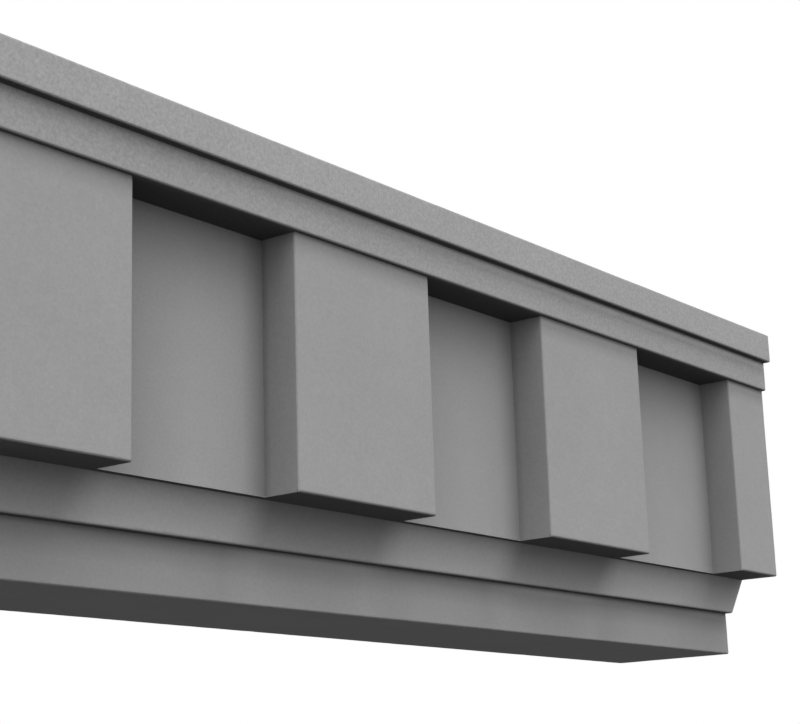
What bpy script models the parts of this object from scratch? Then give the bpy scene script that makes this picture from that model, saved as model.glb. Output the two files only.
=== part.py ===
"""Concrete cornice: one cast length of a stepped block cornice, about a metre long.

Frame: metres, +X to the right along the length when seen from the front, the moulded
front faces -Y, the flat back that goes against the wall faces +Y, and +Z is up.
The origin is the centre of the underside of the part's bounding box.
"""

import math

import bmesh
import bpy
from mathutils import Vector

# Length along the run: whole blocks and gaps by turns, the last gap a little wider, and
# a last block that the square cut leaves at less than half its width
BLOCK_WIDTH = 0.150
GAP_WIDTH = 0.150
LAST_GAP_WIDTH = 0.165
CUT_BLOCK_WIDTH = 0.068
WHOLE_BLOCKS = 3

# Heights of the bands, top to bottom
CAP_HEIGHT = 0.027
FILLET_BAND_HEIGHT = 0.027
BLOCK_HEIGHT = 0.178
SPLAY_HEIGHT = 0.030
BOTTOM_BAND_HEIGHT = 0.038

# Steps back from the front of the cap, each from the face above it
CAP_PROJECTION = 0.007
BLOCK_SETBACK = 0.004
RECESS_DEPTH = 0.030
SPLAY_SETBACK = 0.006
SPLAY_SLOPE = 0.013
BOTTOM_BAND_SETBACK = 0.007

# Depth of the flat underside that beds on the wall
BED_DEPTH = 0.120

# Eased arris that the mould leaves on the outward edges, measured along each face
ARRIS = 0.001

# How far a recess cutter runs out past the faces that it opens
CUTTER_OVERRUN = 0.002
CUTTER_DROP = 0.010

# Vertices closer than this are one vertex, and faces within this angle are one face
MERGE_DISTANCE = 0.00001
FLAT_ANGLE = math.radians(1.0)

CONCRETE_GREY = (0.32, 0.32, 0.32, 1.0)
CONCRETE_ROUGHNESS = 0.9

HEIGHT = CAP_HEIGHT + FILLET_BAND_HEIGHT + BLOCK_HEIGHT + SPLAY_HEIGHT + BOTTOM_BAND_HEIGHT
DEPTH = (CAP_PROJECTION + BLOCK_SETBACK + RECESS_DEPTH + SPLAY_SETBACK + SPLAY_SLOPE
         + BOTTOM_BAND_SETBACK + BED_DEPTH)


def gap_widths():
    """Return the width of each gap, left to right."""
    return [GAP_WIDTH] * (WHOLE_BLOCKS - 1) + [LAST_GAP_WIDTH]


LENGTH = WHOLE_BLOCKS * BLOCK_WIDTH + sum(gap_widths()) + CUT_BLOCK_WIDTH


def clear_scene():
    """Remove whatever objects the scene starts with."""
    for item in list(bpy.data.objects):
        bpy.data.objects.remove(item, do_unlink=True)


def new_collection(name):
    """Return a new collection linked under the scene."""
    collection = bpy.data.collections.new(name)
    bpy.context.scene.collection.children.link(collection)
    return collection


def concrete_material():
    """Return plain grey cast concrete."""
    material = bpy.data.materials.new("cast_concrete")
    material.use_nodes = True
    shader = material.node_tree.nodes["Principled BSDF"]
    shader.inputs["Base Color"].default_value = CONCRETE_GREY
    shader.inputs["Roughness"].default_value = CONCRETE_ROUGHNESS
    shader.inputs["Metallic"].default_value = 0.0
    material.diffuse_color = CONCRETE_GREY
    return material


def front_faces():
    """Return the depth coordinate of each front face, worked back from the cap."""
    cap = -DEPTH / 2.0
    fillet = cap + CAP_PROJECTION
    block = fillet + BLOCK_SETBACK
    recess = block + RECESS_DEPTH
    splay_top = recess + SPLAY_SETBACK
    splay_bottom = splay_top + SPLAY_SLOPE
    bottom = splay_bottom + BOTTOM_BAND_SETBACK
    return {
        "cap": cap,
        "fillet": fillet,
        "block": block,
        "recess": recess,
        "splay_top": splay_top,
        "splay_bottom": splay_bottom,
        "bottom": bottom,
    }


def levels():
    """Return the height of each horizontal edge, from the underside at zero up."""
    bottom_band_top = BOTTOM_BAND_HEIGHT
    block_bottom = bottom_band_top + SPLAY_HEIGHT
    block_top = block_bottom + BLOCK_HEIGHT
    fillet_top = block_top + FILLET_BAND_HEIGHT
    return {
        "bottom_band_top": bottom_band_top,
        "block_bottom": block_bottom,
        "block_top": block_top,
        "fillet_top": fillet_top,
        "cap_top": HEIGHT,
    }


def profile_points():
    """Return the side section through a block as (depth, height) corners."""
    face = front_faces()
    level = levels()
    back = DEPTH / 2.0
    return [
        Vector((back, 0.0)),
        Vector((back, level["cap_top"])),
        Vector((face["cap"], level["cap_top"])),
        Vector((face["cap"], level["fillet_top"])),
        Vector((face["fillet"], level["fillet_top"])),
        Vector((face["fillet"], level["block_top"])),
        Vector((face["block"], level["block_top"])),
        Vector((face["block"], level["block_bottom"])),
        Vector((face["splay_top"], level["block_bottom"])),
        Vector((face["splay_bottom"], level["bottom_band_top"])),
        Vector((face["bottom"], level["bottom_band_top"])),
        Vector((face["bottom"], 0.0)),
    ]


def eased_outline(corners):
    """Return an anticlockwise outline with each outward corner cut off by the arris."""
    outline = []
    count = len(corners)
    for index, corner in enumerate(corners):
        before = corners[index - 1] - corner
        after = corners[(index + 1) % count] - corner
        turns_outward = before.cross(after) < 0.0
        if turns_outward:
            outline.append(corner + before.normalized() * ARRIS)
            outline.append(corner + after.normalized() * ARRIS)
        else:
            outline.append(corner)
    return outline


def recess_plan(left, width):
    """Return the plan of one recess as (x, depth) corners, flared at the blocks' arrises."""
    face = front_faces()
    right = left + width
    flare = ARRIS + CUTTER_OVERRUN
    return [
        Vector((left, face["recess"])),
        Vector((left, face["block"] + ARRIS)),
        Vector((left - flare, face["block"] - CUTTER_OVERRUN)),
        Vector((right + flare, face["block"] - CUTTER_OVERRUN)),
        Vector((right, face["block"] + ARRIS)),
        Vector((right, face["recess"])),
    ]


def weld_and_orient(mesh):
    """Join the loose caps to the sides, clear their flat edges and turn every face outwards."""
    shape = bmesh.new()
    shape.from_mesh(mesh)
    bmesh.ops.remove_doubles(shape, verts=shape.verts, dist=MERGE_DISTANCE)
    bmesh.ops.dissolve_limit(shape, angle_limit=FLAT_ANGLE, verts=shape.verts, edges=shape.edges)
    bmesh.ops.recalc_face_normals(shape, faces=shape.faces)
    shape.to_mesh(mesh)
    shape.free()


def extruded_outline(name, corners, thickness, location, rotation, collection):
    """Return a mesh object of a flat outline, with its thickness spread both ways."""
    curve = bpy.data.curves.new(name + "_outline", "CURVE")
    curve.dimensions = "2D"
    curve.fill_mode = "BOTH"
    curve.extrude = thickness / 2.0
    spline = curve.splines.new("POLY")
    spline.points.add(len(corners) - 1)
    for point, corner in zip(spline.points, corners):
        point.co = (corner.x, corner.y, 0.0, 1.0)
    spline.use_cyclic_u = True

    outline = bpy.data.objects.new(name + "_outline", curve)
    outline.location = location
    outline.rotation_euler = rotation
    collection.objects.link(outline)
    bpy.context.view_layer.update()

    evaluated = outline.evaluated_get(bpy.context.evaluated_depsgraph_get())
    mesh = bpy.data.meshes.new_from_object(evaluated)
    mesh.name = name
    weld_and_orient(mesh)
    solid = bpy.data.objects.new(name, mesh)
    solid.matrix_world = outline.matrix_world.copy()
    collection.objects.link(solid)
    bpy.data.objects.remove(outline, do_unlink=True)
    bpy.data.curves.remove(curve)
    return solid


def run_of_moulding(name, collection):
    """Return the run with its section constant from end to end, the block band unbroken."""
    # The outline's own x, y and z become the part's y, z and x
    rotation = (math.radians(90.0), 0.0, math.radians(90.0))
    corners = eased_outline(profile_points())
    return extruded_outline(name, corners, LENGTH, (0.0, 0.0, 0.0), rotation, collection)


def recess_cutters(collection):
    """Return one cutter for each gap between neighbouring blocks."""
    level = levels()
    bottom = level["block_bottom"] - CUTTER_DROP
    top = level["block_top"]
    location = (0.0, 0.0, (bottom + top) / 2.0)
    no_turn = (0.0, 0.0, 0.0)
    cutters = []
    left = -LENGTH / 2.0
    for number, gap in enumerate(gap_widths(), start=1):
        left += BLOCK_WIDTH
        plan = recess_plan(left, gap)
        name = f"recess_cutter_{number}"
        cutter = extruded_outline(name, plan, top - bottom, location, no_turn, collection)
        cutter.hide_render = True
        cutter.display_type = "WIRE"
        cutters.append(cutter)
        left += gap
    return cutters


def cut_recesses(solid, cutters):
    """Cut each recess from the solid run."""
    for number, cutter in enumerate(cutters, start=1):
        cut = solid.modifiers.new(f"recess_{number}", "BOOLEAN")
        cut.operation = "DIFFERENCE"
        cut.solver = "EXACT"
        cut.object = cutter


def build_cornice():
    """Build the cornice as the one solid that it is cast as."""
    part = new_collection("concrete_cornice")
    cutter_collection = new_collection("cutters")
    cornice = run_of_moulding("cornice", part)
    cornice.data.materials.append(concrete_material())
    cut_recesses(cornice, recess_cutters(cutter_collection))
    return cornice


def main():
    """Clear the scene and build the part."""
    clear_scene()
    build_cornice()


main()
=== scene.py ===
import math

import bmesh
import bpy
from mathutils import Matrix, Vector, noise


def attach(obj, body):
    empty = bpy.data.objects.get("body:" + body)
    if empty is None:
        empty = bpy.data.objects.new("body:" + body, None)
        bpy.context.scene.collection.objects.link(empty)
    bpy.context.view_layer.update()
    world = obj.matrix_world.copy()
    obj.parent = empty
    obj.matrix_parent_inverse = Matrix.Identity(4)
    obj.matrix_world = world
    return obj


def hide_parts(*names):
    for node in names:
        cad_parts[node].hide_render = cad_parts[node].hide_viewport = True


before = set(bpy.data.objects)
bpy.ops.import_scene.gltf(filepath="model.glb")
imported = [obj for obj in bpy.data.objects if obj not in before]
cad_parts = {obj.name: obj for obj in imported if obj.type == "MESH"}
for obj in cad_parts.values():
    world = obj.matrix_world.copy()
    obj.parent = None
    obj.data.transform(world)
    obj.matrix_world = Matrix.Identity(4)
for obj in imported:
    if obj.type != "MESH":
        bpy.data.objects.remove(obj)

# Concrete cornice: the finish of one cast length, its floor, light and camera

# Camera, worked out from the long edges of the moulding and their vanishing point
CAMERA_PLACE = Vector((-1.0923, -0.8580, -0.1397))
CAMERA_HEADING = math.radians(52.569)
CAMERA_RISE = math.radians(13.853)
CAMERA_ROLL = math.radians(-1.828)
CAMERA_LENS_MM = 82.91
CAMERA_NEAR_LIMIT = 0.01
SENSOR_WIDTH_MM = 36.0

# Without a turn a camera looks straight down, and this lifts it to the level
LEVEL_VIEW = math.radians(90.0)

# Surface of the casting, in metres: the net of its fine skin, then its unevenness
GRID_STEP = 0.004
EDGE_STEP = 0.0012
LEAST_SLICED_WIDTH = 4.0 * EDGE_STEP
SLICE_TOLERANCE = 0.000001
WELD_DISTANCE = 0.00001
FACE_WAVINESS = 0.0002
FACE_WAVE_LENGTH = 0.090
ARRIS_UNEVENNESS = 0.00015
ARRIS_WAVE_LENGTH = 0.014

# Rounding of the eased arrises
ARRIS_ROUNDING = 0.0003
ROUNDING_SEGMENTS = 2
ROUND_PROFILE = 0.5

# Angles between neighbouring faces, by which flat faces are joined, edges and the long edges
# of the chamfered arrises are found, and corners are shaded sharp
FLAT_ANGLE = math.radians(0.5)
EDGE_ANGLE = math.radians(10.0)
CHAMFER_ANGLES = (math.radians(25.0), math.radians(62.0))
SHARP_ANGLE = math.radians(50.0)

# The concrete's own grey, its roughness and its fine relief, with a height in metres
CONCRETE_GREY = 0.32
CONCRETE_ROUGHNESS = (0.82, 0.92)
RELIEF_STRENGTH = 0.35
RELIEF_HEIGHT = 0.0004
RELIEF_FROM_FINES = 0.3

# Noise in the concrete: each kind has its waves per metre, its detail and its roughness
CLOUDS = (9.0, 3.0, 0.55)
BLOTCHES = (60.0, 4.0, 0.6)
SAND = (420.0, 4.0, 0.7)
FINES = (2600.0, 1.0, 0.5)
NOISE_RANGE = (0.3, 0.7)

# How far the clouds and blotches change the grey, and how far the sand grain does: the grain
# is coarser on the cap and the plain band, and on the back, the open side of the mould
CLOUD_TONES = (0.975, 1.025)
BLOTCH_TONES = (0.985, 1.015)
FINE_GRAIN = 0.055
COARSE_GRAIN = 0.15
COARSE_ABOVE = (0.244, 0.250)
COARSE_BEHIND = (0.0915, 0.0925)

# Depths just in front of each face and just behind it, which keep painted light and shade to its
# own face
PLAIN_BAND_DEPTHS = (-0.088, -0.0855)
BLOCK_FACE_DEPTHS = (-0.084, -0.0815)
SPLAY_DEPTHS = (-0.048, -0.030)
BOTTOM_BAND_DEPTHS = (-0.029, -0.020)

# Half the length that carries painted light and shade: the ends of the run stay plain
TONED_HALF_LENGTH = 0.4908

# Left and right side of each block, carried on past the two ends of the run
FIRST_BLOCK = (-0.5415, -0.3415)
SECOND_BLOCK = (-0.1915, -0.0415)
THIRD_BLOCK = (0.1085, 0.2585)
CUT_BLOCK = (0.4235, 0.5415)

# Painted shade and painted light along the run: the block faces are painted darker under the
# plain band, the splay lighter towards its lower edge, and the bottom band darker under the
# splay. Each has the height where it is strongest, the height where it has faded out, the depths
# of its face, and the change of grey
PAINTED_SHADE_UNDER_PLAIN_BAND = (0.246, 0.228, BLOCK_FACE_DEPTHS, -0.24)
PAINTED_LIGHT_AT_SPLAY_EDGE = (0.0385, 0.062, SPLAY_DEPTHS, 0.45)
PAINTED_SHADE_UNDER_SPLAY = (0.038, 0.017, BOTTOM_BAND_DEPTHS, -0.30)

# Painted light: the faces are painted a little lighter close under each step, more so towards the
# right: the heights where this starts, is strongest and ends, the depths of the face, and the
# change of grey
PAINTED_LIGHT_UNDER_CAP = (0.2728, 0.2703, 0.2658, PLAIN_BAND_DEPTHS, 0.66)
PAINTED_LIGHT_UNDER_PLAIN_BAND = (0.2455, 0.2430, 0.2393, BLOCK_FACE_DEPTHS, 0.24)
PAINTED_LIGHT_UNDER_SPLAY = (0.0375, 0.0355, 0.0305, BOTTOM_BAND_DEPTHS, 0.17)
LIGHT_GROWS_ALONG = (-0.42, 0.20)

# Painted shadow and painted light of the blocks: the splay is painted darker under the blocks and
# lighter between them, the bottom band lighter under most of them and darker between them. The
# lowest and highest place of the face, its depths, the change of grey all along it, and the
# further change under each block
PAINTED_BLOCK_SHADING_SOFTNESS = 0.015
PAINTED_SHADE_ON_SPLAY = (0.0385, 0.0684, SPLAY_DEPTHS, 0.07, (
    (FIRST_BLOCK, -0.30),
    (SECOND_BLOCK, -0.30),
    (THIRD_BLOCK, -0.29),
))
PAINTED_LIGHT_AND_SHADE_ON_BOTTOM_BAND = (0.0005, 0.0378, BOTTOM_BAND_DEPTHS, -0.07, (
    (FIRST_BLOCK, 0.02),
    (SECOND_BLOCK, 0.18),
    (THIRD_BLOCK, 0.15),
    (CUT_BLOCK, 0.07),
))

# Painted shade: the panels are painted a little darker towards the upright corners of their
# recesses: the place of each corner along the run, how far the painted shade reaches from it, and
# the change of grey
PANEL_CORNER_PAINTED_SHADES = (
    (-0.3415, 0.080, -0.20),
    (-0.1915, 0.022, -0.27),
    (-0.0415, 0.080, -0.07),
    (0.1085, 0.022, -0.17),
    (0.2585, 0.080, -0.04),
    (0.4235, 0.022, -0.09),
)

# This painted shade starts a little in front of the panels, is full at their faces and ends just
# behind them, and it stays between the recesses' lower and upper ends
PANEL_DEPTHS = (-0.0585, -0.0525, -0.0515)
PANEL_HEIGHTS = (0.0685, 0.2465)

# Painted light: the cap's front is painted a little lighter, and this fades out between two
# depths just behind it
CAP_FRONT_DEPTHS = (-0.0925, -0.0915)
CAP_FRONT_PAINTED_LIGHT = 0.06

# Floor, just under the cornice so that the two never share a plane
FLOOR_DROP = 0.0005
FLOOR_SIZE = 60.0
FLOOR_GREY = 0.585
FLOOR_ROUGHNESS = 0.9

# Soft light from all round, by the height of the place that it comes from: 0 is level, 1 is
# overhead and -1 is below. Front and back blend into each other across the sides, and the
# left gives a little more than the right
FRONT_LEVEL_LIGHT = 1.04
FRONT_TOP_LIGHT = 5.8
FRONT_RISES_FROM = 0.32
FRONT_RISE_POWER = 2.0
FRONT_ENDS_AT = -0.465
BACK_LEVEL_LIGHT = 1.74
BACK_ENDS_AT = -0.68
FRONT_TO_BACK = (-0.5, 0.5)
LEFT_GAIN = 0.16

# Only direct light counts: what reaches the camera by fewer surfaces than this
DIRECT_LIGHT_DEPTH = 1.5

# The light and the background have no colour of their own
WHITE = (1.0, 1.0, 1.0, 1.0)


def node_of(tree, kind, **values):
    """Add a shader node and set its plain properties."""
    made = tree.nodes.new(kind)
    for name, value in values.items():
        setattr(made, name, value)
    return made


def noise_node(tree, coordinates, settings):
    """Add a noise texture with its own scale, detail and roughness."""
    made = node_of(tree, "ShaderNodeTexNoise")
    for name, value in zip(("Scale", "Detail", "Roughness"), settings):
        made.inputs[name].default_value = value
    tree.links.new(coordinates, made.inputs["Vector"])
    return made.outputs["Fac"]


def parts_of(tree, vector):
    """Split a vector into its X, Y and Z."""
    made = node_of(tree, "ShaderNodeSeparateXYZ")
    tree.links.new(vector, made.inputs["Vector"])
    return {axis: made.outputs[axis] for axis in "XYZ"}


def remap(tree, value, low, high, to_low, to_high):
    """Map a value from one range to another, and clamp it."""
    made = node_of(tree, "ShaderNodeMapRange", clamp=True)
    made.inputs["From Min"].default_value = low
    made.inputs["From Max"].default_value = high
    made.inputs["To Min"].default_value = to_low
    made.inputs["To Max"].default_value = to_high
    tree.links.new(value, made.inputs["Value"])
    return made.outputs["Result"]


def combine(tree, operation, first, second):
    """Join two values with a math node; either may be a plain number."""
    made = node_of(tree, "ShaderNodeMath", operation=operation)
    for socket, value in zip(made.inputs, (first, second)):
        if isinstance(value, (int, float)):
            socket.default_value = value
        else:
            tree.links.new(value, socket)
    return made.outputs["Value"]


def limited(tree, amount, *limits):
    """Multiply an amount by each of its limits in turn."""
    for limit in limits:
        amount = combine(tree, "MULTIPLY", amount, limit)
    return amount


def on_face(tree, place, amount, depths):
    """Keep an amount to the face between two depths, and off the ends of the run."""
    front, back = depths
    along = combine(tree, "ABSOLUTE", place["X"], 0.0)
    return limited(tree, amount,
                   combine(tree, "GREATER_THAN", place["Y"], front),
                   combine(tree, "LESS_THAN", place["Y"], back),
                   combine(tree, "LESS_THAN", along, TONED_HALF_LENGTH))


def painted_soft_shading(tree, place, settings):
    """Return how much one face of the run is painted darker (painted shade) or lighter (painted
    light) towards an edge of the profile.
    """
    strongest, faded, depths, change = settings
    side = "LESS_THAN" if strongest > faded else "GREATER_THAN"
    amount = limited(tree, remap(tree, place["Z"], faded, strongest, 0.0, change),
                     combine(tree, side, place["Z"], strongest))
    return on_face(tree, place, amount, depths)


def painted_light_under_step(tree, place, settings):
    """Return how much painted light lightens a face close under the step above it."""
    start, strongest, end, depths, change = settings
    amount = limited(tree, remap(tree, place["Z"], start, strongest, 0.0, change),
                     remap(tree, place["Z"], strongest, end, 1.0, 0.0),
                     remap(tree, place["X"], *LIGHT_GROWS_ALONG, 0.0, 1.0))
    return on_face(tree, place, amount, depths)


def painted_block_shading(tree, place, settings):
    """Return the painted shadow and painted light on a low face under the blocks and between
    them.
    """
    bottom, top, depths, amount, blocks = settings
    soft = PAINTED_BLOCK_SHADING_SOFTNESS
    for (left, right), change in blocks:
        shade = limited(tree, remap(tree, place["X"], left - soft, left + soft, 0.0, change),
                        remap(tree, place["X"], right - soft, right + soft, 1.0, 0.0))
        amount = combine(tree, "ADD", amount, shade)
    amount = limited(tree, amount,
                     combine(tree, "GREATER_THAN", place["Z"], bottom),
                     combine(tree, "LESS_THAN", place["Z"], top))
    return on_face(tree, place, amount, depths)


def painted_corner_shade(tree, place):
    """Return how much painted shade darkens the panels towards the upright corners of their
    recesses.
    """
    amount = 0.0
    for corner, reach, change in PANEL_CORNER_PAINTED_SHADES:
        offset = combine(tree, "SUBTRACT", place["X"], corner)
        distance = combine(tree, "ABSOLUTE", offset, 0.0)
        amount = combine(tree, "ADD", amount, remap(tree, distance, 0.0, reach, change, 0.0))
    start, panel, end = PANEL_DEPTHS
    bottom, top = PANEL_HEIGHTS
    return limited(tree, amount,
                   remap(tree, place["Y"], start, panel, 0.0, 1.0),
                   combine(tree, "LESS_THAN", place["Y"], end),
                   combine(tree, "GREATER_THAN", place["Z"], bottom),
                   combine(tree, "LESS_THAN", place["Z"], top))


def painted_light_and_shade(tree, place):
    """Return what all the painted light and shade together make of the grey: 1 where there is
    none.
    """
    changes = [painted_soft_shading(tree, place, settings)
               for settings in (PAINTED_SHADE_UNDER_PLAIN_BAND, PAINTED_LIGHT_AT_SPLAY_EDGE, PAINTED_SHADE_UNDER_SPLAY)]
    changes += [painted_light_under_step(tree, place, settings)
                for settings in (PAINTED_LIGHT_UNDER_CAP, PAINTED_LIGHT_UNDER_PLAIN_BAND, PAINTED_LIGHT_UNDER_SPLAY)]
    changes += [painted_block_shading(tree, place, settings)
                for settings in (PAINTED_SHADE_ON_SPLAY, PAINTED_LIGHT_AND_SHADE_ON_BOTTOM_BAND)]
    changes.append(painted_corner_shade(tree, place))
    # Painted light on the cap's front
    changes.append(remap(tree, place["Y"], *CAP_FRONT_DEPTHS, CAP_FRONT_PAINTED_LIGHT, 0.0))
    total = 1.0
    for change in changes:
        total = combine(tree, "ADD", total, change)
    return total


def sand_grain(tree, place, sand):
    """Return the tone of the sand grain, coarser on the upper bands and on the back."""
    coarse = combine(tree, "MAXIMUM", remap(tree, place["Z"], *COARSE_ABOVE, 0.0, 1.0),
                     remap(tree, place["Y"], *COARSE_BEHIND, 0.0, 1.0))
    grain = combine(tree, "MULTIPLY", remap(tree, sand, *NOISE_RANGE, -1.0, 1.0),
                    remap(tree, coarse, 0.0, 1.0, FINE_GRAIN, COARSE_GRAIN))
    return combine(tree, "ADD", 1.0, grain)


def concrete_material():
    """Smooth cast concrete: plain mid grey, faint clouding and sand grain, with painted light and
    painted shade.
    """
    material = bpy.data.materials.new("smooth_cast_concrete")
    material.use_nodes = True
    tree = material.node_tree
    shader = tree.nodes["Principled BSDF"]
    shader.inputs["Metallic"].default_value = 0.0
    shader.inputs["Specular IOR Level"].default_value = 0.0

    coordinates = node_of(tree, "ShaderNodeTexCoord").outputs["Object"]
    place = parts_of(tree, coordinates)
    clouds, blotches, sand, fines = [
        noise_node(tree, coordinates, settings) for settings in (CLOUDS, BLOTCHES, SAND, FINES)
    ]

    # The grey's faint clouding, blotches and sand grain, times the painted light and shade
    tone = limited(tree, remap(tree, clouds, *NOISE_RANGE, *CLOUD_TONES),
                   remap(tree, blotches, *NOISE_RANGE, *BLOTCH_TONES),
                   sand_grain(tree, place, sand),
                   painted_light_and_shade(tree, place))
    grey = combine(tree, "MULTIPLY", tone, CONCRETE_GREY)
    colour = node_of(tree, "ShaderNodeCombineColor")
    for channel in ("Red", "Green", "Blue"):
        tree.links.new(grey, colour.inputs[channel])
    tree.links.new(colour.outputs["Color"], shader.inputs["Base Color"])
    tree.links.new(remap(tree, blotches, *NOISE_RANGE, *CONCRETE_ROUGHNESS),
                   shader.inputs["Roughness"])

    relief = node_of(tree, "ShaderNodeBump")
    relief.inputs["Strength"].default_value = RELIEF_STRENGTH
    relief.inputs["Distance"].default_value = RELIEF_HEIGHT
    small = combine(tree, "MULTIPLY", fines, RELIEF_FROM_FINES)
    tree.links.new(combine(tree, "ADD", sand, small), relief.inputs["Height"])
    tree.links.new(relief.outputs["Normal"], shader.inputs["Normal"])
    return material


def outline_coordinates(shape, axis):
    """Return the sorted places along one axis where the solid has corners."""
    found = sorted(vertex.co[axis] for vertex in shape.verts)
    kept = [found[0]]
    for value in found:
        if value - kept[-1] > WELD_DISTANCE:
            kept.append(value)
    return kept


def slice_evenly(shape, axis):
    """Slice the solid along one axis: close beside each corner, and evenly in between."""
    normal = Vector((0.0, 0.0, 0.0))
    normal[axis] = 1.0
    corners = outline_coordinates(shape, axis)
    for low, high in zip(corners, corners[1:]):
        if high - low < LEAST_SLICED_WIDTH:
            continue
        first = low + EDGE_STEP
        last = high - EDGE_STEP
        steps = math.ceil((last - first) / GRID_STEP)
        for index in range(steps + 1):
            place = normal * (first + (last - first) * index / steps)
            everything = shape.verts[:] + shape.edges[:] + shape.faces[:]
            bmesh.ops.bisect_plane(shape, geom=everything, dist=SLICE_TOLERANCE,
                                   plane_co=place, plane_no=normal)


def chamfer_edges(shape):
    """Return the long edges of the chamfered arrises, which stand at about 45 degrees."""
    low, high = CHAMFER_ANGLES
    return [
        edge for edge in shape.edges
        if len(edge.link_faces) == 2 and edge.is_convex and low < edge.calc_face_angle() < high
    ]


def lies_on_arris(vertex):
    """Tell whether a vertex of the skin lies on an outward edge."""
    return any(edge.calc_face_angle(0.0) > EDGE_ANGLE and edge.is_convex
               for edge in vertex.link_edges)


def cast_surface(shape):
    """Move the skin in by the small unevenness of a casting, never out past the solid."""
    shape.normal_update()
    moves = []
    for vertex in shape.verts:
        even = vertex.calc_shell_factor()
        broad = noise.noise(vertex.co / FACE_WAVE_LENGTH)
        depth = FACE_WAVINESS * (1.0 + broad) / 2.0
        if lies_on_arris(vertex):
            local = noise.noise(vertex.co / ARRIS_WAVE_LENGTH)
            depth += ARRIS_UNEVENNESS * max(0.0, local)
        moves.append(vertex.normal * -depth * even)
    for vertex, move in zip(shape.verts, moves):
        vertex.co += move


def shade_smooth_to_corners(shape):
    """Shade the skin smooth, but keep every inside corner and other steep edge sharp."""
    shape.normal_update()
    for face in shape.faces:
        face.smooth = True
    for edge in shape.edges:
        edge.smooth = edge.calc_face_angle(0.0) < SHARP_ANGLE


def fine_cornice(node):
    """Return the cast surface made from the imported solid: rounded arrises and a fine skin."""
    shape = bmesh.new()
    shape.from_mesh(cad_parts[node].data)
    bmesh.ops.remove_doubles(shape, verts=shape.verts, dist=WELD_DISTANCE)
    bmesh.ops.dissolve_limit(shape, angle_limit=FLAT_ANGLE, verts=shape.verts, edges=shape.edges)
    bmesh.ops.bevel(shape, geom=chamfer_edges(shape), offset=ARRIS_ROUNDING,
                    segments=ROUNDING_SEGMENTS, profile=ROUND_PROFILE, affect="EDGES",
                    clamp_overlap=True)
    # By height, then by depth, then along the run
    for axis in (2, 1, 0):
        slice_evenly(shape, axis)
    cast_surface(shape)
    shade_smooth_to_corners(shape)
    mesh = bpy.data.meshes.new("cast_cornice")
    shape.to_mesh(mesh)
    shape.free()
    piece = bpy.data.objects.new("cast_cornice", mesh)
    bpy.context.scene.collection.objects.link(piece)
    mesh.materials.append(concrete_material())
    return piece


def camera():
    """Place the camera at the photograph's viewing angle, below the cornice and to its left."""
    data = bpy.data.cameras.new("photo_camera")
    data.sensor_fit = "HORIZONTAL"
    data.sensor_width = SENSOR_WIDTH_MM
    data.lens = CAMERA_LENS_MM
    data.clip_start = CAMERA_NEAR_LIMIT
    placed = bpy.data.objects.new("photo_camera", data)
    turn = Matrix.Rotation(-CAMERA_HEADING, 4, "Z")
    lift = Matrix.Rotation(LEVEL_VIEW + CAMERA_RISE, 4, "X")
    roll = Matrix.Rotation(CAMERA_ROLL, 4, "Z")
    placed.matrix_world = Matrix.Translation(CAMERA_PLACE) @ turn @ lift @ roll
    bpy.context.scene.collection.objects.link(placed)
    bpy.context.scene.camera = placed


def choose_shader(tree, choice, at_zero, at_one, output):
    """Send one of two shaders to the output, by a choice that is 0 or 1."""
    made = node_of(tree, "ShaderNodeMixShader")
    for socket, value in zip(made.inputs, (choice, at_zero, at_one)):
        tree.links.new(value, socket)
    tree.links.new(made.outputs["Shader"], tree.nodes[output].inputs["Surface"])


def floor():
    """Lay a plain pale floor under the cornice: one-sided, so that it is clear from below."""
    bpy.ops.mesh.primitive_plane_add(size=FLOOR_SIZE, location=(0.0, 0.0, -FLOOR_DROP))
    plane = bpy.context.object
    plane.name = "studio_floor"
    plane.visible_diffuse = False
    plane.visible_glossy = False
    plane.visible_shadow = False
    material = bpy.data.materials.new("pale_floor")
    material.use_nodes = True
    tree = material.node_tree
    shader = tree.nodes["Principled BSDF"]
    shader.inputs["Base Color"].default_value = (FLOOR_GREY, FLOOR_GREY, FLOOR_GREY, 1.0)
    shader.inputs["Roughness"].default_value = FLOOR_ROUGHNESS
    shader.inputs["Specular IOR Level"].default_value = 0.0
    underside = node_of(tree, "ShaderNodeNewGeometry").outputs["Backfacing"]
    clear = node_of(tree, "ShaderNodeBsdfTransparent")
    choose_shader(tree, underside, shader.outputs["BSDF"], clear.outputs["BSDF"],
                  "Material Output")
    plane.data.materials.append(material)


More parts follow.
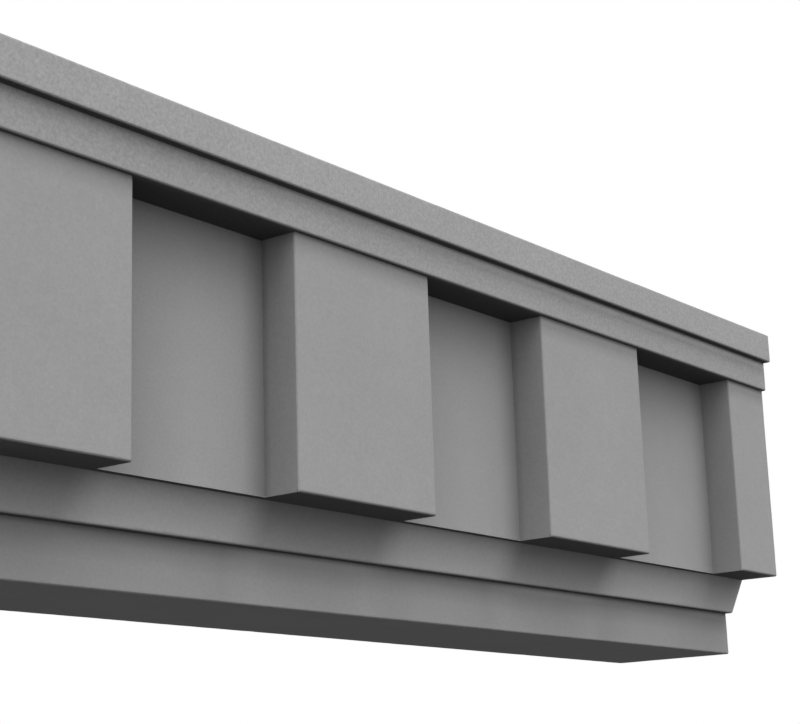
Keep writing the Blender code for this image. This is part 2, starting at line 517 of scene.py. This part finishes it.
def front_light(tree, height):
    """Return the light from the front: it grows towards the top and fades out below."""
    rise = remap(tree, height, FRONT_RISES_FROM, 1.0, 0.0, 1.0)
    gain = combine(tree, "MULTIPLY", combine(tree, "POWER", rise, FRONT_RISE_POWER),
                   FRONT_TOP_LIGHT - FRONT_LEVEL_LIGHT)
    level = remap(tree, height, FRONT_ENDS_AT, 0.0, 0.0, FRONT_LEVEL_LIGHT)
    return combine(tree, "ADD", gain, level)


def back_light(tree, height):
    """Return the light from the back: strongest where it is level, and none overhead."""
    return combine(tree, "MULTIPLY", remap(tree, height, 0.0, 1.0, BACK_LEVEL_LIGHT, 0.0),
                   remap(tree, height, BACK_ENDS_AT, 0.0, 0.0, 1.0))


def soft_surroundings():
    """Light the cornice from all round, most from above in front, and show plain white behind."""
    world = bpy.data.worlds.new("studio")
    world.use_nodes = True
    tree = world.node_tree
    direction = parts_of(tree, node_of(tree, "ShaderNodeTexCoord").outputs["Generated"])
    in_front = remap(tree, direction["Y"], *FRONT_TO_BACK, 1.0, 0.0)
    behind = combine(tree, "SUBTRACT", 1.0, in_front)
    light = combine(tree, "ADD",
                    combine(tree, "MULTIPLY", front_light(tree, direction["Z"]), in_front),
                    combine(tree, "MULTIPLY", back_light(tree, direction["Z"]), behind))
    path = node_of(tree, "ShaderNodeLightPath").outputs
    light = limited(tree, light,
                    remap(tree, direction["X"], -1.0, 1.0, 1.0 + LEFT_GAIN, 1.0 - LEFT_GAIN),
                    combine(tree, "LESS_THAN", path["Diffuse Depth"], DIRECT_LIGHT_DEPTH))

    soft = tree.nodes["Background"]
    soft.inputs["Color"].default_value = WHITE
    tree.links.new(light, soft.inputs["Strength"])
    white = node_of(tree, "ShaderNodeBackground")
    white.inputs["Color"].default_value = WHITE
    choose_shader(tree, path["Is Camera Ray"], soft.outputs["Background"],
                  white.outputs["Background"], "World Output")
    world.cycles.max_bounces = 0
    bpy.context.scene.world = world


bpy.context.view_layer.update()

camera()
cornice = fine_cornice("cornice")
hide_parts("cornice")
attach(cornice, "root")
floor()
soft_surroundings()
bpy.context.scene.view_settings.view_transform = "Standard"
